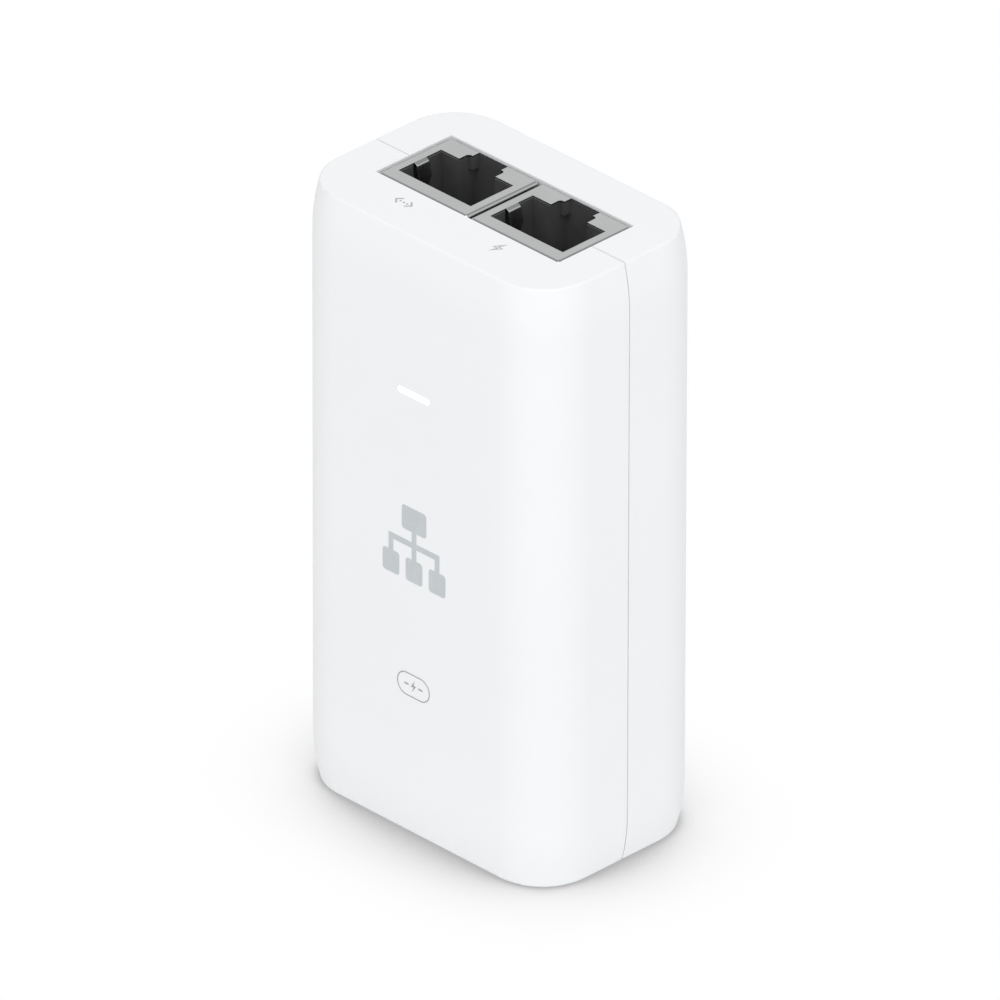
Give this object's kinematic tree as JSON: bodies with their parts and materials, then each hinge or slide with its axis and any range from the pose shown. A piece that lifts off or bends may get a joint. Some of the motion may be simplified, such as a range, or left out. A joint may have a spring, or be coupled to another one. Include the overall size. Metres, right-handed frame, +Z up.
{
  "type": "poe injector",
  "caption": "Upright white mains power-over-Ethernet adapter: a rounded two-piece case with two shielded network sockets in its top end and a mains inlet in its base.",
  "frame": {"origin": "centre of the flat base that the case stands on", "axes": "+Z up through the sockets, +Y towards the back, -Y out of the marked front, X across the two sockets"},
  "size_m": [0.0464, 0.0304, 0.087],
  "materials": {
    "case_plastic": "fine satin moulded white",
    "printed_ink": "thin grey pad print, for the marks drawn on the case",
    "light_window": "milky clear",
    "label_film": "blank satin film",
    "shield_metal": "satin nickel-plated sheet",
    "jack_plastic": "dark charcoal moulding",
    "contact_gold": "gold-flashed spring wire",
    "inlet_plastic": "fine-textured black moulding",
    "pin_metal": "nickel-plated, drawn",
    "wire_brown": "insulation",
    "wire_blue": "insulation",
    "wire_green": "insulation",
    "board_laminate": "solder-masked laminate",
    "led_package": "moulded package",
    "fuse_plastic": "moulded",
    "varistor_coat": "dipped epoxy",
    "film_box": "moulded box",
    "ferrite": "sintered dark grey",
    "copper": "enamelled copper wire",
    "moulding_black": "moulded",
    "moulding_cream": "moulded",
    "can_sleeve": "shrunk sleeve",
    "capacitor_coat": "dipped epoxy",
    "aluminium_plate": "rolled",
    "pad_silicone": "filled silicone",
    "chip_epoxy": "moulded epoxy",
    "screw_steel": "zinc-plated",
    "tape": "polyester tape",
    "film_clear": "polyester film",
    "ceramic_chip": "sintered, tinned ends",
    "resistor_chip": "glazed, tinned ends"
  },
  "bodies": {
    "case": {"bridge_rectifier": "chip_epoxy", "bulk_capacitor": "can_sleeve", "choke_base": "moulding_black", "choke_core": "ferrite", "choke_winding": "copper", "data_contact_carrier": "jack_plastic", "data_contact_leads": "contact_gold", "data_jack_housing": "jack_plastic", "data_jack_shield": "shield_metal", "earth_wire": "wire_green", "front_cover": "case_plastic", "fuse": "fuse_plastic", "heatsink": "aluminium_plate", "heatsink_screw": "screw_steel", "inlet_earth_pin": "pin_metal", "inlet_housing": "inlet_plastic", "inlet_line_pin": "pin_metal", "inlet_neutral_pin": "pin_metal", "insulation_sheet": "film_clear", "led_light_pipe": "light_window", "line_wire": "wire_brown", "main_board": "board_laminate", "network_transformer": "chip_epoxy", "neutral_wire": "wire_blue", "optocoupler": "chip_epoxy", "output_capacitors": "can_sleeve", "output_diode": "chip_epoxy", "output_inductor": "ferrite", "poe_contact_carrier": "jack_plastic", "poe_contact_leads": "contact_gold", "poe_controller": "chip_epoxy", "poe_jack_housing": "jack_plastic", "poe_jack_shield": "shield_metal", "power_controller": "chip_epoxy", "rating_label": "label_film", "rear_cover": "case_plastic", "status_led": "led_package", "surface_capacitors": "ceramic_chip", "surface_resistors": "resistor_chip", "switching_transistor": "chip_epoxy", "thermal_pad": "pad_silicone", "transformer_bobbin": "moulding_cream", "transformer_core": "ferrite", "transformer_tape": "tape", "transformer_winding": "copper", "varistor": "varistor_coat", "x_capacitor": "film_box", "y_capacitor": "capacitor_coat"},
    "data_contacts": {"data_contact_springs": "contact_gold"},
    "poe_contacts": {"poe_contact_springs": "contact_gold"}
  },
  "joints": [
    {"name": "data_contact_flex", "type": "hinge", "parent": "case", "child": "data_contacts", "pos_m": [-0.00822, -0.00328, 0.0837], "axis": [-1, 0, 0], "range_deg": [0, 10], "stiffness_Nm_per_rad": 0.3},
    {"name": "poe_contact_flex", "type": "hinge", "parent": "case", "child": "poe_contacts", "pos_m": [0.00822, -0.00328, 0.0837], "axis": [-1, 0, 0], "range_deg": [0, 10], "stiffness_Nm_per_rad": 0.3}
  ]
}
